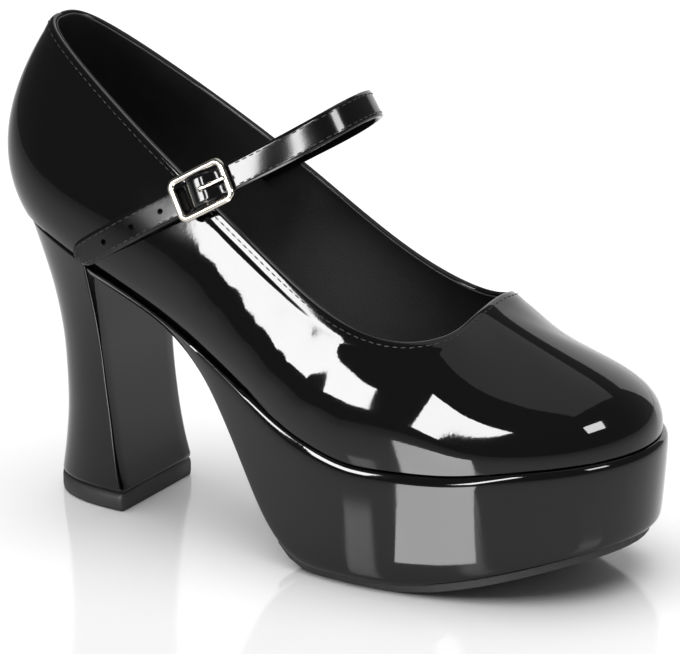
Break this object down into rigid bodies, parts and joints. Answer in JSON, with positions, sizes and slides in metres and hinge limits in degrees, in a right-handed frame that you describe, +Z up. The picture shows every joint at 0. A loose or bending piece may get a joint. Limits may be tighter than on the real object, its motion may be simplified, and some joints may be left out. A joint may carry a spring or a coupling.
{
  "type": "platform mary jane shoe",
  "caption": "Right platform mary jane pump with a round toe, a flared block heel and one buckled instep strap.",
  "frame": {"origin": "on the floor, under the middle of the shoe's bounding box", "axes": "+X towards the toe, -Y to the outer (little toe) side, +Z up"},
  "size_m": [0.228, 0.0862, 0.1569],
  "materials": {
    "patent": "black patent, mirror gloss",
    "sock": "matt black lining leather",
    "rubber": "matt black",
    "nickel": "polished nickel"
  },
  "bodies": {
    "root": {"upper": "patent", "insole": "sock", "platform": "patent", "outsole": "rubber", "heel": "patent", "heel_top_piece": "rubber", "strap": "patent", "buckle_tab": "patent", "buckle_frame": "nickel", "buckle_prong": "nickel"}
  },
  "joints": []
}
